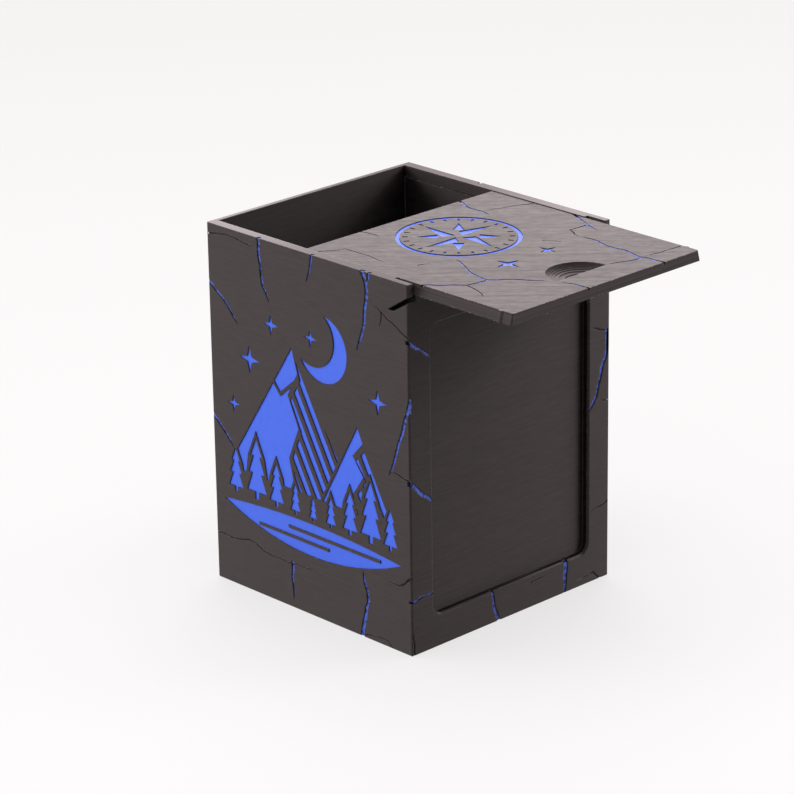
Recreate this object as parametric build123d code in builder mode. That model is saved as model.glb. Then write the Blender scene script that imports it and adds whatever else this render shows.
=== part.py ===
from build123d import *
from math import sin, sqrt
import os

# Card box with a dovetailed sliding lid, printed in black with a second colour let into it.
# Millimetres, +Z up. The origin is the middle of the underside, and the front is -Y.
# The lid is drawn part of the way out to the front.

# Box
well_width = 70.0
well_depth = 72.0
box_height = 104.0
floor_thickness = 2.4
side_wall = 3.1
back_wall = 1.5
panel_wall = 2.1
corner_radius = 0.4
foot_chamfer = 0.2

# Sunk panel of the front wall
recess_depth = 2.0
upright_width = 8.35
rail_height = 9.4
recess_radius = 3.0
recess_bevel = 0.5

# Lid and the clearances of its grooves
lid_thickness = 3.0
lid_flare = 0.8
lid_drop = 0.15
lid_corner = 0.4
lid_pull = 34.5
side_gap = 0.2
under_gap = 0.15
end_gap = 0.3

# Snap fingers of the side walls and nubs of the lid
finger_length = 7.4
finger_thickness = 1.9
finger_drop = 4.8
slot_height = 1.6
slot_toe = 2.1
notch_length = 6.6
nub_radius = 0.9
nub_setback = 4.1
nub_gap = 0.15

# Thumb scoop
scoop_radius = 9.3
scoop_depth = 1.8
scoop_setback = 9.5
scoop_layers = 9

# Second colour, which lies a little below the face
inlay_sink = 0.25
inlay_thickness = 0.4
inlay_gap = 0.05
vein_sink = 0.55
hairline_depth = 0.4
crack_step = 3.2
crack_kink = 0.3
crack_taper = 0.45
picture_unit = 1.0
emblem_unit = 1.0
emblem_setback = 54.0

# Sizes that follow
box_width = well_width + 2 * side_wall
box_depth = back_wall + well_depth + panel_wall + recess_depth
front_y = -box_depth / 2
well_back = box_depth / 2 - back_wall
lid_top = box_height - lid_drop
lid_bottom = lid_top - lid_thickness
ledge = lid_bottom - under_gap
slope = lid_flare / lid_thickness
rim_half = well_width / 2
groove_half = rim_half + slope * (box_height - ledge)
lid_top_half = rim_half + slope * lid_drop - side_gap
lid_bottom_half = lid_top_half + lid_flare
lid_length = box_depth - back_wall - end_gap
lid_front = well_back - end_gap - lid_length - lid_pull
finger_face = box_width / 2 - finger_thickness
pocket_depth = inlay_sink + inlay_thickness
vein_depth = vein_sink + inlay_thickness

# Face planes, each seen from outside with its own Y up
left_face = Plane((-box_width / 2, 0, box_height / 2), x_dir=(0, -1, 0), z_dir=(-1, 0, 0))
front_face = Plane((0, front_y, box_height / 2), x_dir=(1, 0, 0), z_dir=(0, -1, 0))
right_face = Plane((box_width / 2, 0, box_height / 2), x_dir=(0, 1, 0), z_dir=(1, 0, 0))
back_face = Plane((0, box_depth / 2, box_height / 2), x_dir=(-1, 0, 0), z_dir=(0, 1, 0))
lid_face = Plane((0, lid_front + lid_length / 2, lid_top))

# Cracks: the corner or edge that one is measured from, its width there, and its path to the tip
left_veins = [
    ((-1, 1), 1.1, (20.5, 1), (20.8, -5), (22, -13), (24.5, -17.5)),
    ((-1, 1), 0.85, (-1, -16), (3.5, -19), (8, -22.5), (12, -27)),
    ((-1, 0), 0.95, (-1, -2.5), (5, -7.5), (9, -12)),
    ((0, 1), 0.8, (2.6, 1), (2.4, -2.2), (0.4, -8.2)),
    ((1, 1), 1.3, (-17.6, 1), (-15.4, -3.2), (-15.5, -8), (-17, -16.5), (-19.5, -22.5)),
    ((1, 1), 1.0, (-14.2, 1), (-15.4, -4)),
    ((1, 0), 1.1, (0.8, 22), (-1.6, 14.5), (-5.2, 4), (-8, -2.5)),
    ((1, -1), 1.3, (-19.3, -1), (-17.8, 6.5), (-16.5, 11), (-18.5, 19.6)),
    ((0, -1), 0.95, (-7.6, 13.8), (-7.9, 9), (-7.5, 2.2)),
]
left_hairlines = [
    ((-1, 1), 0.5, (0.3, -3.1), (7.5, -1.9), (14, -2.4), (20.5, -3)),
    ((1, 1), 0.5, (1, -14.8), (-5.1, -11.7), (-9.7, -9.6), (-13.1, -8)),
    ((1, 1), 0.35, (-9.7, -9.4), (-10.6, -14)),
    ((1, 0), 0.5, (1, -1.8), (-7.9, -1)),
    ((1, -1), 0.6, (1, 23.6), (-1.2, 21.7), (-4.3, 19.3), (-9.8, 19)),
    ((-1, -1), 0.5, (0.3, 13.6), (9.5, 14), (13.5, 15), (22.5, 13), (36, 13.3), (41, 14)),
    ((1, -1), 0.45, (-18.8, 0.6), (-14.1, 1.5), (-9.2, 1.8), (-6.5, 0)),
]
front_veins = [
    ((-1, 1), 0.9, (-1, -15), (3.1, -18), (5.8, -19.7), (9.3, -22)),
    ((-1, 0), 1.2, (-1, -1.8), (4, -6.5), (9.5, -11)),
    ((-1, -1), 0.8, (-1, 15.1), (2.4, 15.7), (4.6, 16.2), (9, 16.2)),
    ((0, -1), 1.15, (-4.6, -1), (-6.6, 3.3), (-7.3, 6.5), (-8.3, 11)),
    ((1, -1), 1.7, (-17.1, 11), (-17.4, 4.4), (-17.8, -1)),
    ((1, 0), 1.3, (-1, 21.2), (-1.1, 14.6), (-2.5, 11.6), (-3.5, 8), (-5, 2.7), (-8.8, -1.9)),
]
front_hairlines = [
    ((-1, -1), 0.6, (0.9, -0.5), (0.9, 2.5), (0.5, 7.4)),
    ((0, -1), 0.4, (7, 7.3), (13.2, 7.5)),
    ((1, -1), 0.5, (-2.5, -0.5), (-6.2, 2.8), (-13, 2.2)),
    ((1, 1), 0.5, (-0.6, -31.3), (-8.5, -29)),
    ((1, 0), 0.5, (-0.3, 0.4), (-4, 1.2)),
    ((1, -1), 0.5, (-0.3, 22.6), (-8.5, 20.8)),
]
right_veins = [
    ((-1, 0), 1.1, (0.7, 20), (5, 26), (9, 33), (14, 36)),
    ((0, 1), 1.0, (10, 1), (9, -7), (12, -14), (10.5, -22)),
    ((0, -1), 1.1, (-8, -1), (-6, 8), (-9, 15), (-5, 22)),
    ((1, 0), 0.95, (1, 18), (-6, 13), (-11, 15), (-17, 9)),
]
right_hairlines = [
    ((-1, 0), 0.5, (0.3, 0.2), (6, -3), (13, -2), (18, -6)),
    ((-1, -1), 0.5, (0.3, 22.8), (7, 26), (12, 24.5)),
    ((1, -1), 0.5, (-0.3, 19.6), (-8, 17), (-15, 19)),
]
back_veins = [
    ((1, 1), 0.9, (-0.8, -15.5), (-7, -12), (-13, -14), (-20, -10)),
    ((1, 0), 1.0, (-0.8, -3), (-6, 1), (-14, 0), (-19, 5)),
    ((-1, 0), 1.0, (0.8, 18.5), (7, 22), (12, 19), (20, 25)),
    ((0, -1), 1.2, (6, -1), (4, 9), (8, 17), (5, 25)),
]
back_hairlines = [
    ((1, 1), 0.5, (-0.3, -3.1), (-5, -4.4), (-11, -2.6)),
    ((1, -1), 0.5, (-0.3, 13.6), (-10, 16), (-18, 14.5), (-26, 17)),
    ((-1, -1), 0.5, (0.3, 20), (8, 24), (15, 22)),
]
lid_veins = [
    ((0, 1), 0.75, (22.4, 1), (19.5, -6.8), (19.8, -11.1), (18.3, -15.3)),
    ((1, -1), 0.8, (1, 47.6), (-2.1, 40.4), (-3.9, 36.5), (-6, 30.2)),
    ((1, -1), 0.8, (-13.3, -1), (-14.8, 8.2), (-13.2, 13.9), (-13.7, 20.7), (-12.3, 25), (-13.1, 30.9)),
    ((1, -1), 0.6, (-14.2, 7), (-17, 6.8), (-20.5, 7.9), (-25.2, 9.6)),
    ((-1, -1), 0.75, (-1, 33.4), (7.5, 24.1), (14.6, 23), (18.2, 19.9), (21.9, 14.8), (24.6, 10.8)),
    ((-1, -1), 0.65, (14.4, 22.6), (14.7, 26.4), (16.2, 32), (19.2, 37.2), (20.5, 40.8)),
    ((0, -1), 0.65, (-7.1, -1), (-7.5, 4.9), (-8.7, 8.8)),
]
lid_hairlines = [
    ((1, -1), 0.45, (1, 59.4), (-7.6, 62.6), (-14.9, 65)),
    ((1, -1), 0.5, (-4.2, 36.1), (-10.5, 36.4), (-12.5, 32.8), (-13, 30.4)),
    ((1, -1), 0.45, (1, 5.8), (-6, 6.2), (-14, 6.9)),
    ((-1, -1), 0.45, (7.6, 24), (6.5, 18.6), (4, 14.4)),
    ((-1, -1), 0.45, (-1, 72), (6.9, 68.2), (7.1, 59.5), (6.3, 52)),
    ((0, 1), 0.5, (-15.6, 1), (-14.5, -3), (-14.8, -7)),
    ((0, -1), 0.35, (12.5, 35.5), (16.7, 29.1)),
    ((0, -1), 0.35, (-24.7, 44.5), (-20.7, 43.4)),
]


def crack_outline(path, width):
    """Closed outline of a crack, kinked between its points and narrowed to a tip."""
    spine = [Vector(*path[0])]
    for point in path[1:]:
        start = spine[-1]
        run = Vector(*point) - start
        parts = max(2, round(run.length / crack_step))
        for part in range(1, parts):
            swing = crack_kink * sin(2.4 * len(spine))
            spine.append(start + run * (part / parts) + Vector(-run.Y, run.X).normalized() * swing)
        spine.append(start + run)
    right_bank = []
    left_bank = []
    for index in range(len(spine) - 1):
        run = spine[index + 1] - spine[max(index - 1, 0)]
        half = width / 2 * (1 - crack_taper * index / (len(spine) - 1))
        bank = Vector(-run.Y, run.X).normalized() * half
        right_bank.append(spine[index] - bank)
        left_bank.append(spine[index] + bank)
    return right_bank + [spine[-1]] + left_bank[::-1]


def draw_cracks(cracks, face_width, face_height, spread=0.0):
    """Draws a face's cracks into the open sketch, wider all round by the spread."""
    for corner, width, *path in cracks:
        origin = (corner[0] * face_width / 2, corner[1] * face_height / 2)
        placed = [(origin[0] + x, origin[1] + y) for x, y in path]
        Polygon(*crack_outline(placed, width + 2 * spread), align=None)


def draw_star(radius):
    """Draws a slender star with four points into the open sketch."""
    waist = 0.2 * radius
    tips = [(radius, 0), (0, radius), (-radius, 0), (0, -radius)]
    hollows = [(waist, waist), (-waist, waist), (-waist, -waist), (waist, -waist)]
    Polygon(*[point for pair in zip(tips, hollows) for point in pair], align=None)


def draw_pine(height):
    """Draws a pine with three tiers of branches, standing on its foot."""
    right_side = [(0.04, 0), (0.04, 0.12), (0.22, 0.12), (0.1, 0.42), (0.18, 0.42), (0.07, 0.7), (0.13, 0.7)]
    left_side = [(-x, y) for x, y in right_side[::-1]]
    Polygon(*[(x * height, y * height) for x, y in right_side + [(0, 1)] + left_side], align=None)


def ridge_line(apex, foot, swing):
    """Points of a zigzag ridge from a peak's apex down to its foot."""
    steps = [(0, 0), (0.17, 1), (0.34, -1), (0.55, 1), (0.78, -1), (1, 0)]
    return [(apex[0] + swing * side, apex[1] + (foot - apex[1]) * drop) for drop, side in steps]


# Picture of the left side: pines, two peaks, ground, moon and stars, drawn in its own units
pines = [(-30, 13), (-21.5, 18), (-13.5, 13), (-6, 9), (1, 7), (8, 9), (15.5, 13), (23.5, 18), (31, 12)]
pine_foot = -24.0
peaks = [("low_peak_inlay", (19, 8), 5, 34), ("high_peak_inlay", (-6, 24), -33, 20)]
peak_foot = -17.0
picture_art = {}
emblem_art = {}

with BuildSketch() as pine_art:
    for x, height in pines:
        with Locations((x, pine_foot)):
            draw_pine(height)
picture_art["pine_inlay"] = pine_art

with BuildSketch() as pine_clearing:
    for x, height in pines:
        lower = 0.22 * height + 1.5
        upper = 0.13 * height + 1
        tier = pine_foot + 0.7 * height
        Polygon((x - lower, pine_foot), (x + lower, pine_foot), (x + upper, tier),
                (x, pine_foot + height + 2), (x - upper, tier), align=None)

with BuildSketch() as shade_stripes:
    with Locations(Rotation(0, 0, -61)):
        with GridLocations(1, 3.4, 1, 24):
            Rectangle(120, 1.9)

with BuildSketch() as snow_line:
    with Locations((-14, 11)):
        Polygon((-8, 0), (-3, -1), (0, 1.5), (3, -2), (9, 3), (9, 4.2), (3, -0.8), (0, 2.7), (-3, 0.2), (-8, 1.2),
                align=None)

# Each peak has a solid lit side and a striped shaded side, and makes room for what stands before it
foreground = [pine_clearing]
for name, apex, left_foot, right_foot in peaks:
    with BuildSketch() as shaded_side:
        ridge = ridge_line((apex[0] + 1, apex[1] - 2), peak_foot, 2)
        Polygon(*ridge, (right_foot, peak_foot), align=None)
        add(shade_stripes.sketch, mode=Mode.INTERSECT)
    with BuildSketch() as peak_art:
        Polygon(*ridge_line(apex, peak_foot, 2)[::-1], (left_foot, peak_foot), align=None)
        add(snow_line.sketch, mode=Mode.SUBTRACT)
        add(shaded_side.sketch)
        for nearer in foreground:
            add(nearer.sketch, mode=Mode.SUBTRACT)
    with BuildSketch() as peak_clearing:
        Polygon((left_foot - 1, peak_foot), (right_foot + 1, peak_foot), (apex[0], apex[1] + 2), align=None)
    foreground.append(peak_clearing)
    picture_art[name] = peak_art

with BuildSketch() as ground_art:
    with BuildLine():
        ThreePointArc((-35, -27), (0, -25), (35, -27))
        ThreePointArc((35, -27), (0, -34.5), (-35, -27))
    make_face()
    with Locations((9, -28.2)):
        Rectangle(36, 0.9, mode=Mode.SUBTRACT)
    with Locations((-7, -30.8)):
        Rectangle(28, 0.9, mode=Mode.SUBTRACT)
picture_art["ground_inlay"] = ground_art

with BuildSketch() as moon_art:
    with Locations((6, 26.5)):
        Circle(9.5)
    with Locations((2.2, 29)):
        Circle(8.3, mode=Mode.SUBTRACT)
picture_art["moon_inlay"] = moon_art

with BuildSketch() as star_art:
    for x, y, radius in [(-23, 16.5, 4), (-14, 28.5, 3), (27, 17, 3.6), (-30, 2, 2.6), (1.5, 28.5, 2.6)]:
        with Locations((x, y)):
            draw_star(radius)
picture_art["star_inlay"] = star_art

# Emblem of the lid: a compass rose, with two stars towards the scoop, drawn in its own units
with BuildSketch() as ring_art:
    Circle(17)
    Circle(15.8, mode=Mode.SUBTRACT)
emblem_art["rose_ring_inlay"] = ring_art

with BuildSketch() as tick_art:
    with PolarLocations(14.3, 24):
        Rectangle(1.6, 0.7)
emblem_art["rose_tick_inlay"] = tick_art

with BuildSketch() as point_art:
    with PolarLocations(0, 4):
        Polygon((1.2, 0), (13, 0), (3.2, 3.2), align=None)
    with PolarLocations(0, 4, start_angle=45):
        Polygon((5.6, -1.6), (11.5, 0), (5.6, 1.6), align=None)
emblem_art["rose_point_inlay"] = point_art

with BuildSketch() as lid_star_art:
    with Locations((-7.5, -25.5)):
        draw_star(4.2)
    with Locations((8, -25)):
        draw_star(3.2)
emblem_art["lid_star_inlay"] = lid_star_art

# Both drawings at their size on the box
for drawings, unit in [(picture_art, picture_unit), (emblem_art, emblem_unit)]:
    for name, art in drawings.items():
        with BuildSketch() as sized_art:
            scale(art.sketch, by=unit, mode=Mode.ADD)
        drawings[name] = sized_art

emblem_face = Plane((0, lid_front + emblem_setback, lid_top))

# Box shell
with BuildPart() as box_shell:
    with BuildSketch():
        Rectangle(box_width, box_depth)
    extrude(amount=box_height)
    fillet(box_shell.edges().filter_by(Axis.Z), radius=corner_radius)
    chamfer(box_shell.faces().sort_by(Axis.Z)[0].edges(), length=foot_chamfer)
    # Sunk panel
    with BuildSketch(front_face):
        with Locations((0, (ledge - box_height) / 2)):
            RectangleRounded(box_width - 2 * upright_width, ledge - 2 * rail_height, recess_radius)
    extrude(amount=-recess_depth, mode=Mode.SUBTRACT)
    chamfer(box_shell.faces().sort_by(Axis.Y)[0].inner_wires()[0].edges(), length=recess_bevel)
    # Well
    with BuildSketch(Plane.XY.offset(floor_thickness)):
        with Locations((0, well_back - well_depth / 2)):
            Rectangle(well_width, well_depth)
    extrude(amount=box_height, mode=Mode.SUBTRACT)
    # Dovetail grooves, open to the front over the lower front wall
    with BuildSketch(Plane.XZ.offset(-well_back)):
        with BuildLine():
            Polyline((-groove_half, ledge), (groove_half, ledge), (rim_half, box_height),
                     (rim_half, box_height + 1), (-rim_half, box_height + 1), (-rim_half, box_height), close=True)
        make_face()
    extrude(amount=well_back - front_y + 1, mode=Mode.SUBTRACT)
    # Snap fingers: a slanted slot under each, and a notch that bares its inner side
    upper_fall = finger_drop / finger_length
    lower_fall = (finger_drop - slot_height) / (finger_length - slot_toe)
    for side in (-1, 1):
        with BuildSketch(Plane.YZ.offset(side * rim_half)):
            with BuildLine():
                Polyline((front_y - 1, ledge + upper_fall), (front_y - 1, ledge - slot_height + lower_fall),
                         (front_y + finger_length - slot_toe, ledge - finger_drop),
                         (front_y + finger_length, ledge - finger_drop), close=True)
            make_face()
        extrude(amount=side * (side_wall + 1), mode=Mode.SUBTRACT)
        with BuildSketch(Plane.YZ.offset(side * rim_half)):
            with BuildLine():
                Polyline((front_y - 1, box_height + 1), (front_y - 1, ledge - slot_height + lower_fall),
                         (front_y + notch_length, ledge - slot_height - lower_fall * notch_length),
                         (front_y + notch_length, box_height + 1), close=True)
            make_face()
        extrude(amount=side * (finger_face - rim_half), mode=Mode.SUBTRACT)
    # Pockets of the picture
    for art in picture_art.values():
        with BuildSketch(left_face):
            add(art.sketch)
        extrude(amount=-pocket_depth, mode=Mode.SUBTRACT)
    # Cracks
    for face, width, veins, hairlines in [(left_face, box_depth, left_veins, left_hairlines),
                                          (front_face, box_width, front_veins, front_hairlines),
                                          (right_face, box_depth, right_veins, right_hairlines),
                                          (back_face, box_width, back_veins, back_hairlines)]:
        with BuildSketch(face):
            draw_cracks(veins, width, box_height, inlay_gap)
        extrude(amount=-vein_depth, mode=Mode.SUBTRACT)
        with BuildSketch(face):
            draw_cracks(hairlines, width, box_height)
        extrude(amount=-hairline_depth, mode=Mode.SUBTRACT)

# Sliding lid
with BuildPart() as sliding_lid:
    with BuildSketch(Plane.XZ.offset(-lid_front)):
        with BuildLine():
            Polyline((-lid_bottom_half, lid_bottom), (lid_bottom_half, lid_bottom),
                     (lid_top_half, lid_top), (-lid_top_half, lid_top), close=True)
        make_face()
    extrude(amount=-lid_length)
    chamfer(sliding_lid.faces().sort_by(Axis.Y)[0].edges().filter_by(Axis.X, reverse=True), length=lid_corner)
    # Nubs that work against the snap fingers, slanted as the lid's sides are
    nub_x = finger_face - nub_gap - nub_radius
    for side in (-1, 1):
        with BuildSketch(Plane.XY.offset(lid_bottom)):
            with Locations((side * nub_x, lid_front + nub_setback)):
                Circle(nub_radius)
        extrude(amount=sqrt(lid_flare**2 + lid_thickness**2), dir=(-side * lid_flare, 0, lid_thickness))
    # Thumb scoop, terraced by the print's layers
    for layer in range(scoop_layers):
        radius = scoop_radius * sqrt(1 - (layer / scoop_layers) ** 2)
        with BuildSketch(Plane.XY.offset(lid_top - layer * scoop_depth / scoop_layers)):
            with BuildLine():
                arc = CenterArc((0, lid_front + scoop_setback), radius, 0, 180)
                Line(arc @ 1, arc @ 0)
            make_face()
        extrude(amount=-scoop_depth / scoop_layers, mode=Mode.SUBTRACT)
    # Pockets of the emblem
    for art in emblem_art.values():
        with BuildSketch(emblem_face):
            add(art.sketch)
        extrude(amount=-pocket_depth, mode=Mode.SUBTRACT)
    # Cracks
    with BuildSketch(lid_face):
        draw_cracks(lid_veins, 2 * lid_top_half, lid_length, inlay_gap)
    extrude(amount=-pocket_depth, mode=Mode.SUBTRACT)
    with BuildSketch(lid_face):
        draw_cracks(lid_hairlines, 2 * lid_top_half, lid_length)
    extrude(amount=-hairline_depth, mode=Mode.SUBTRACT)

# Picture and emblem inlays, each filling the floor of its pockets
pieces = {"box_shell": box_shell, "sliding_lid": sliding_lid}

for name, art in picture_art.items():
    with BuildPart() as inlay:
        with BuildSketch(left_face.offset(-pocket_depth)):
            add(art.sketch)
        extrude(amount=inlay_thickness)
    pieces[name] = inlay

for name, art in emblem_art.items():
    with BuildPart() as inlay:
        with BuildSketch(emblem_face.offset(-pocket_depth)):
            add(art.sketch)
        extrude(amount=inlay_thickness)
    pieces[name] = inlay

# Vein inlays: those of the sides run on to the corners, and those of the front and back stop at them
side_inset = inlay_gap
end_inset = vein_depth + inlay_gap

with BuildPart() as left_vein_inlay:
    with BuildSketch(left_face.offset(-vein_depth)):
        draw_cracks(left_veins, box_depth, box_height)
        Rectangle(box_depth - 2 * side_inset, box_height - 2 * foot_chamfer, mode=Mode.INTERSECT)
        for art in picture_art.values():
            add(art.sketch, mode=Mode.SUBTRACT)
    extrude(amount=inlay_thickness)
pieces["left_vein_inlay"] = left_vein_inlay

with BuildPart() as front_vein_inlay:
    with BuildSketch(front_face.offset(-vein_depth)):
        draw_cracks(front_veins, box_width, box_height)
        Rectangle(box_width - 2 * end_inset, box_height - 2 * foot_chamfer, mode=Mode.INTERSECT)
        with Locations((0, (ledge - box_height) / 2)):
            Rectangle(box_width - 2 * upright_width + 2 * recess_bevel,
                      ledge - 2 * rail_height + 2 * recess_bevel, mode=Mode.SUBTRACT)
    extrude(amount=inlay_thickness)
pieces["front_vein_inlay"] = front_vein_inlay

with BuildPart() as right_vein_inlay:
    with BuildSketch(right_face.offset(-vein_depth)):
        draw_cracks(right_veins, box_depth, box_height)
        Rectangle(box_depth - 2 * side_inset, box_height - 2 * foot_chamfer, mode=Mode.INTERSECT)
    extrude(amount=inlay_thickness)
pieces["right_vein_inlay"] = right_vein_inlay

with BuildPart() as back_vein_inlay:
    with BuildSketch(back_face.offset(-vein_depth)):
        draw_cracks(back_veins, box_width, box_height)
        Rectangle(box_width - 2 * end_inset, box_height - 2 * foot_chamfer, mode=Mode.INTERSECT)
    extrude(amount=inlay_thickness)
pieces["back_vein_inlay"] = back_vein_inlay

with BuildPart() as lid_vein_inlay:
    with BuildSketch(lid_face.offset(-pocket_depth)):
        draw_cracks(lid_veins, 2 * lid_top_half, lid_length)
        Rectangle(2 * lid_top_half - 2 * end_inset, lid_length - 2 * end_inset, mode=Mode.INTERSECT)
        with Locations((0, emblem_setback - lid_length / 2)):
            for art in emblem_art.values():
                add(art.sketch, mode=Mode.SUBTRACT)
    extrude(amount=inlay_thickness)
pieces["lid_vein_inlay"] = lid_vein_inlay

# One file for each piece
os.makedirs("parts", exist_ok=True)
for name, piece in pieces.items():
    piece.part.label = name
    export_step(piece.part, f"parts/{name}.step")
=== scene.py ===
from math import radians

import bpy
from mathutils import Matrix


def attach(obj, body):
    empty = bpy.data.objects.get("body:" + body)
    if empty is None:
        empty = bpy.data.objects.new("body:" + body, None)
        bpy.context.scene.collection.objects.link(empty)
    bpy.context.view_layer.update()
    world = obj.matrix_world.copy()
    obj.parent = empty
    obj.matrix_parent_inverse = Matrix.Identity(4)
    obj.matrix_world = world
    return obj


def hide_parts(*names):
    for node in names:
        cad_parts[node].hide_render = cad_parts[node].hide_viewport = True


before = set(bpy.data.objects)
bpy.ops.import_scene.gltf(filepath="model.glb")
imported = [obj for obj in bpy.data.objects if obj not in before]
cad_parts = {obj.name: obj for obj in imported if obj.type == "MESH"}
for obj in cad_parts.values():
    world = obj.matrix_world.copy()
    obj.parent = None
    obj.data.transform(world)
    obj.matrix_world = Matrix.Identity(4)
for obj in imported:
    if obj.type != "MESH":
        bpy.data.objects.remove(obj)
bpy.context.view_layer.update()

# Box shell
# One print in black filament, laid down in thin level layers whose rounded edges make the walls
# satin. The level faces are smoother, and the printed edges are a little rounded and nicked, with
# a painted highlight in lighter colour on the outer edges.


def new_filament(name):
    """Start a print's material, and give its node tree, its shader and its coordinates too."""
    filament = bpy.data.materials.new(name)
    filament.use_nodes = True
    tree = filament.node_tree
    return filament, tree, tree.nodes["Principled BSDF"], tree.nodes.new("ShaderNodeTexCoord")


shell_plastic, tree, plastic, coords = new_filament("black_print_shell")
black_sheen = (1, 0.8, 0.82, 1)
up_and_down = 0.25
plastic.inputs["Specular IOR Level"].default_value = 0.6
plastic.inputs["Specular Tint"].default_value = black_sheen
plastic.inputs["Anisotropic"].default_value = 1
plastic.inputs["Anisotropic Rotation"].default_value = up_and_down
around = tree.nodes.new("ShaderNodeTangent")
around.direction_type = "RADIAL"
around.axis = "Z"
tree.links.new(around.outputs["Tangent"], plastic.inputs["Tangent"])


def specks(tree, place, scale, detail, roughness=0.5):
    """Draw noise that is the same in every direction."""
    noise = tree.nodes.new("ShaderNodeTexNoise")
    noise.inputs["Scale"].default_value = scale
    noise.inputs["Detail"].default_value = detail
    noise.inputs["Roughness"].default_value = roughness
    tree.links.new(place, noise.inputs["Vector"])
    return noise.outputs["Fac"]


def print_lines(tree, place, stretch, detail, roughness=0.5):
    """Draw noise that is stretched along the lines of the print."""
    mapping = tree.nodes.new("ShaderNodeMapping")
    mapping.inputs["Scale"].default_value = stretch
    tree.links.new(place, mapping.inputs["Vector"])
    return specks(tree, mapping.outputs["Vector"], 1, detail, roughness)


def feed(tree, value, socket):
    """Link a value that varies to a socket, or set one that is the same all over."""
    if isinstance(value, bpy.types.NodeSocket):
        tree.links.new(value, socket)
    else:
        socket.default_value = value


def mixed(tree, kind, share, first, second):
    """Mix two numbers or two colours."""
    mixer = tree.nodes.new("ShaderNodeMix")
    mixer.data_type = kind
    feed(tree, share, mixer.inputs["Factor"])
    feed(tree, first, mixer.inputs["A"])
    feed(tree, second, mixer.inputs["B"])
    return mixer.outputs["Result"]


def spread(tree, value, low=0, high=1, start=0, end=1):
    """Spread the values from low to high over the range from start to end."""
    ramp = tree.nodes.new("ShaderNodeMapRange")
    ramp.inputs["From Min"].default_value = low
    ramp.inputs["From Max"].default_value = high
    ramp.inputs["To Min"].default_value = start
    ramp.inputs["To Max"].default_value = end
    tree.links.new(value, ramp.inputs["Value"])
    return ramp.outputs["Result"]


darkest_wall = (0.0003, 0.0002, 0.0002, 1)
lightest_wall = (0.0125, 0.0095, 0.0098, 1)
wall_lines = print_lines(tree, coords.outputs["Object"], stretch=(5, 5, 2600), detail=2)
wall_dashes = print_lines(tree, coords.outputs["Object"], stretch=(180, 180, 1400), detail=4,
                          roughness=0.6)
wall_tone = spread(tree, mixed(tree, "FLOAT", 0.5, wall_lines, wall_dashes), low=0.4, high=0.66)
wall_black = mixed(tree, "RGBA", wall_tone, darkest_wall, lightest_wall)


def rounded_edge(tree, radius):
    """Give the normal of the surface with its edges rounded."""
    bevel = tree.nodes.new("ShaderNodeBevel")
    bevel.samples = 6
    bevel.inputs["Radius"].default_value = radius
    return bevel.outputs["Normal"]


def along(tree, vector, direction):
    """Measure a vector along a direction."""
    dot = tree.nodes.new("ShaderNodeVectorMath")
    dot.operation = "DOT_PRODUCT"
    feed(tree, vector, dot.inputs[0])
    feed(tree, direction, dot.inputs[1])
    return dot.outputs["Value"]


def worked_out(tree, operation, *values):
    """Work out one number from others."""
    result = tree.nodes.new("ShaderNodeMath")
    result.operation = operation
    for value, socket in zip(values, result.inputs):
        tree.links.new(value, socket)
    return result.outputs["Value"]


def edge_nicks_and_highlights(tree, place, rounded, low, high):
    """Put nicks and a painted highlight on outer edges, where the rounded normal turns and no
    wall stands close by.
    """
    surface = tree.nodes.new("ShaderNodeNewGeometry")
    near_edge = spread(tree, along(tree, rounded, surface.outputs["Normal"]), low=0.99, high=0.88)
    around = tree.nodes.new("ShaderNodeAmbientOcclusion")
    around.samples = 6
    around.only_local = True
    around.inputs["Distance"].default_value = 0.001
    open_side = spread(tree, around.outputs["AO"], low=0.85)
    outer_edge = worked_out(tree, "MULTIPLY", near_edge, open_side)
    nick_and_highlight_mask = spread(tree, specks(tree, place, scale=1000, detail=2), low, high)
    return worked_out(tree, "MULTIPLY", outer_edge, nick_and_highlight_mask)


wall_edge_radius = 0.0005
# Lighter colour on the outer edges: partly wear in the nicks, partly a painted edge highlight.
wall_nick_and_highlight_colour = (0.14, 0.115, 0.115, 1)
wall_edge = rounded_edge(tree, wall_edge_radius)
nick_and_highlight_mask = edge_nicks_and_highlights(tree, coords.outputs["Object"], wall_edge, low=0.58, high=0.7)
wall_colour = mixed(tree, "RGBA", nick_and_highlight_mask, wall_black, wall_nick_and_highlight_colour)
tree.links.new(wall_colour, plastic.inputs["Base Color"])


def level_faces(tree, coords):
    """Mark the level faces with 1 and the upright ones with 0."""
    normal = tree.nodes.new("ShaderNodeSeparateXYZ")
    tree.links.new(coords.outputs["Normal"], normal.inputs["Vector"])
    return spread(tree, worked_out(tree, "ABSOLUTE", normal.outputs["Z"]), low=0.5, high=0.95)


rim_roughness = 0.26
level = level_faces(tree, coords)
wall_roughness = spread(tree, wall_lines, start=0.5, end=0.8)
shell_roughness = mixed(tree, "FLOAT", level, wall_roughness, rim_roughness)
tree.links.new(shell_roughness, plastic.inputs["Roughness"])


def raise_relief(tree, plastic, height, strength, depth, normal=None):
    """Give a material fine relief, on top of a rounded normal where there is one."""
    bump = tree.nodes.new("ShaderNodeBump")
    bump.inputs["Distance"].default_value = depth
    feed(tree, strength, bump.inputs["Strength"])
    tree.links.new(height, bump.inputs["Height"])
    if normal:
        tree.links.new(normal, bump.inputs["Normal"])
    tree.links.new(bump.outputs["Normal"], plastic.inputs["Normal"])


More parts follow.
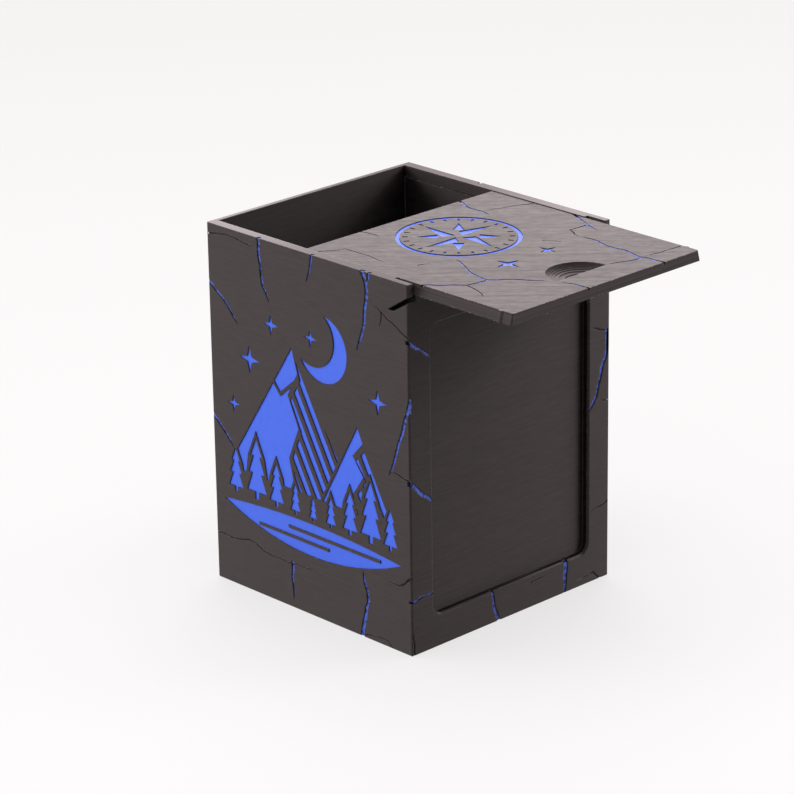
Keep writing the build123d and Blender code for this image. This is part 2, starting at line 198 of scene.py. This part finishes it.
layers = tree.nodes.new("ShaderNodeTexWave")
layers.bands_direction = "Z"
layers.inputs["Scale"].default_value = 1570
layers.inputs["Distortion"].default_value = 0.6
layers.inputs["Detail"].default_value = 2
layers.inputs["Detail Scale"].default_value = 0.02
tree.links.new(coords.outputs["Object"], layers.inputs["Vector"])
wall_ridges = mixed(tree, "FLOAT", 0.6, layers.outputs["Fac"], wall_lines)
ridge_strength = spread(tree, level, start=0.3, end=0.03)
raise_relief(tree, plastic, wall_ridges, ridge_strength, depth=0.00006, normal=wall_edge)


def dress(node, material):
    """Give a node one material."""
    node.data.materials.clear()
    node.data.materials.append(material)


dress(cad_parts["box_shell"], shell_plastic)

# Sliding lid
# A second print in the same filament, which slides in the box's grooves. Its top layer is laid in
# close lines on the diagonal, which show as a fine raster, and its sides show the layers.
lid_plastic, tree, plastic, coords = new_filament("black_print_lid")
plastic.inputs["Specular Tint"].default_value = black_sheen
raster_turn = radians(45)
diagonal = tree.nodes.new("ShaderNodeMapping")
diagonal.inputs["Rotation"].default_value = (0, 0, raster_turn)
tree.links.new(coords.outputs["Object"], diagonal.inputs["Vector"])
top_lines = print_lines(tree, diagonal.outputs["Vector"], stretch=(35, 1700, 35), detail=3)
top_grain = print_lines(tree, diagonal.outputs["Vector"], stretch=(350, 900, 350), detail=4,
                        roughness=0.65)
raster = mixed(tree, "FLOAT", 0.5, top_lines, top_grain)
side_lines = print_lines(tree, coords.outputs["Object"], stretch=(8, 8, 2600), detail=3)
level = level_faces(tree, coords)
lid_lines = mixed(tree, "FLOAT", level, side_lines, raster)

low_line = 0.37
high_line = 0.63
darkest_lid = (0.005, 0.004, 0.004, 1)
lightest_lid = (0.02, 0.016, 0.016, 1)
lid_tone = spread(tree, lid_lines, low_line, high_line)
lid_black = mixed(tree, "RGBA", lid_tone, darkest_lid, lightest_lid)

# Lighter colour on the lid's outer edges: partly wear in the nicks, partly a painted edge
# highlight.
lid_nick_and_highlight_reach = 0.0004
lid_nick_and_highlight_colour = (0.22, 0.19, 0.19, 1)
nick_and_highlight_edge = rounded_edge(tree, lid_nick_and_highlight_reach)
nick_and_highlight_mask = edge_nicks_and_highlights(tree, coords.outputs["Object"], nick_and_highlight_edge, low=0.56, high=0.66)
lid_colour = mixed(tree, "RGBA", nick_and_highlight_mask, lid_black, lid_nick_and_highlight_colour)
tree.links.new(lid_colour, plastic.inputs["Base Color"])

side_roughness = 0.66
top_roughness = spread(tree, lid_lines, low_line, high_line, start=0.31, end=0.51)
lid_roughness = mixed(tree, "FLOAT", level, side_roughness, top_roughness)
tree.links.new(lid_roughness, plastic.inputs["Roughness"])

lid_edge_radius = 0.00015
lid_edge = rounded_edge(tree, lid_edge_radius)
raise_relief(tree, plastic, lid_lines, strength=0.5, depth=0.0001, normal=lid_edge)
dress(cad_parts["sliding_lid"], lid_plastic)

# Picture and emblem inlays
# Blue filament, printed at the bottom of the pockets in the box's left wall and in the lid's top.
# It is satin and a little uneven, as filled print lines are.
blue_plastic, tree, plastic, coords = new_filament("blue_print_inlay")
darkest_blue = (0.027, 0.101, 0.69, 1)
lightest_blue = (0.038, 0.126, 0.82, 1)
mottle = specks(tree, coords.outputs["Object"], scale=600, detail=3)
blue = mixed(tree, "RGBA", mottle, darkest_blue, lightest_blue)
tree.links.new(blue, plastic.inputs["Base Color"])
tree.links.new(spread(tree, mottle, start=0.34, end=0.46), plastic.inputs["Roughness"])
raise_relief(tree, plastic, mottle, strength=0.25, depth=0.00006)
for name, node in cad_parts.items():
    if name.endswith("_inlay") and not name.endswith("_vein_inlay"):
        dress(node, blue_plastic)

# Vein inlays
# The same blue filament, printed as beads that lie in narrow cracks, a little below the faces.
# They are dull, and dark in patches.
vein_plastic, tree, plastic, coords = new_filament("blue_print_vein")
light_vein_blue = (0.045, 0.11, 0.6, 1)
dark_vein_blue = (0.004, 0.006, 0.022, 1)
plastic.inputs["Roughness"].default_value = 0.5
# Noise mixes the vein's blue towards a near black in patches.
vein_patches = specks(tree, coords.outputs["Object"], scale=950, detail=3)
dark_vein_share = spread(tree, vein_patches, low=0.44, high=0.6)
vein_blue = mixed(tree, "RGBA", dark_vein_share, light_vein_blue, dark_vein_blue)
tree.links.new(vein_blue, plastic.inputs["Base Color"])
raise_relief(tree, plastic, vein_patches, strength=0.5, depth=0.0001)

same_point = 0.000001
facing_outward = 0.9
for side, outward, rise, body in [("left", (-1, 0, 0), 0.0003, "box"),
                                  ("front", (0, -1, 0), 0.0003, "box"),
                                  ("right", (1, 0, 0), 0.0004, "box"),
                                  ("back", (0, 1, 0), 0.0003, "box"),
                                  ("lid", (0, 0, 1), 0.00012, "lid")]:
    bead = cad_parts[side + "_vein_inlay"].data.copy()
    vein = bpy.data.objects.new(side + "_vein_bead", bead)
    bpy.context.scene.collection.objects.link(vein)
    bpy.ops.object.select_all(action="DESELECT")
    vein.select_set(True)
    bpy.context.view_layer.objects.active = vein
    bpy.ops.object.mode_set(mode="EDIT")
    bpy.ops.mesh.select_all(action="SELECT")
    bpy.ops.mesh.remove_doubles(threshold=same_point)
    bpy.ops.mesh.select_mode(type="FACE")
    bpy.ops.mesh.select_all(action="DESELECT")
    bpy.ops.object.mode_set(mode="OBJECT")
    for face in vein.data.polygons:
        face.select = face.normal.dot(outward) > facing_outward
    bpy.ops.object.mode_set(mode="EDIT")
    bpy.ops.transform.translate(value=[rise * part for part in outward])
    bpy.ops.object.mode_set(mode="OBJECT")
    dress(vein, vein_plastic)
    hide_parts(side + "_vein_inlay")
    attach(vein, body)

# Floor, light and camera
# A white sheet in a white light tent, whose open side faces the photographer. Soft boxes stand
# over it, behind it and to both sides.
floor_width = 6
bpy.ops.object.select_all(action="DESELECT")
bpy.ops.mesh.primitive_plane_add(size=floor_width)
floor = bpy.context.object
floor.name = "floor"
sheet = bpy.data.materials.new("white_sheet")
sheet.use_nodes = True
tree = sheet.node_tree
paper = tree.nodes["Principled BSDF"]
paper.inputs["Base Color"].default_value = (0.44, 0.435, 0.432, 1)
paper.inputs["Roughness"].default_value = 0.9
paper.inputs["Specular IOR Level"].default_value = 0.1

to_the_back = (0.69, 0.72, 0)
coords = tree.nodes.new("ShaderNodeTexCoord")
distance_back = along(tree, coords.outputs["Object"], to_the_back)
# Painted light: for camera and reflected rays the sheet glows brighter at the front and fades
# towards the back.
painted_falloff = spread(tree, distance_back, low=-0.1, high=0.6, start=1.21, end=1.05)
glow = tree.nodes.new("ShaderNodeEmission")
glow.inputs["Color"].default_value = (0.985, 0.97, 0.974, 1)
tree.links.new(painted_falloff, glow.inputs["Strength"])

glow_share = 0.56
path = tree.nodes.new("ShaderNodeLightPath")
seen = worked_out(tree, "MAXIMUM", path.outputs["Is Camera Ray"], path.outputs["Is Glossy Ray"])
seen = worked_out(tree, "MAXIMUM", seen, path.outputs["Is Transmission Ray"])
blend = tree.nodes.new("ShaderNodeMixShader")
tree.links.new(spread(tree, seen, end=glow_share), blend.inputs["Fac"])
tree.links.new(paper.outputs["BSDF"], blend.inputs[1])
tree.links.new(glow.outputs["Emission"], blend.inputs[2])
tree.links.new(blend.outputs["Shader"], tree.nodes["Material Output"].inputs["Surface"])
floor.data.materials.append(sheet)

tent_strength = 0.85
opening_strength = 0.15
to_the_opening = (-0.65, -0.67, 0.35)
world = bpy.data.worlds.new("light_tent")
world.use_nodes = True
bpy.context.scene.world = world
tree = world.node_tree
coords = tree.nodes.new("ShaderNodeTexCoord")
nearness = along(tree, coords.outputs["Generated"], to_the_opening)
strength = spread(tree, nearness, low=0.7, high=0.95, start=tent_strength, end=opening_strength)
strength.node.interpolation_type = "SMOOTHSTEP"
tent = tree.nodes["Background"]
tent.inputs["Color"].default_value = (1, 0.98, 0.978, 1)
tree.links.new(strength, tent.inputs["Strength"])

white = (1, 1, 1)
rose = (1, 0.88, 0.89)
for name, place, size, power, tint in [("top", (0, 0.01, 1.2), 1.2, 10, white),
                                       ("back", (0.95, 1, 0.75), 1.4, 9.5, rose),
                                       ("left", (-0.95, 0.98, 0.38), 0.9, 8, white),
                                       ("right", (0.96, -0.5, 0.45), 0.5, 4.4, white),
                                       ("key", (-1.4, -0.4, 1.1), 1, 6, white)]:
    lamp = bpy.data.lights.new(name, "AREA")
    lamp.shape = "SQUARE"
    lamp.size = size
    lamp.energy = power
    lamp.color = tint
    holder = bpy.data.objects.new(name, lamp)
    bpy.context.scene.collection.objects.link(holder)
    holder.location = place
    holder.rotation_euler = (-holder.location).to_track_quat("-Z", "Y").to_euler()

camera_place = Matrix.Translation((-0.63087, -0.65297, 0.39493))
camera_turn = Matrix.Rotation(radians(-43.78), 4, "Z")
camera_tilt = Matrix.Rotation(radians(69.38), 4, "X")
camera_roll = Matrix.Rotation(radians(-0.89), 4, "Z")
camera = bpy.data.cameras.new("camera")
camera.lens = 160.36
camera.sensor_width = 36
camera.clip_start = 0.05
camera.clip_end = 20
viewer = bpy.data.objects.new("camera", camera)
bpy.context.scene.collection.objects.link(viewer)
viewer.matrix_world = camera_place @ camera_turn @ camera_tilt @ camera_roll
bpy.context.scene.camera = viewer

bpy.context.scene.view_settings.view_transform = "Standard"
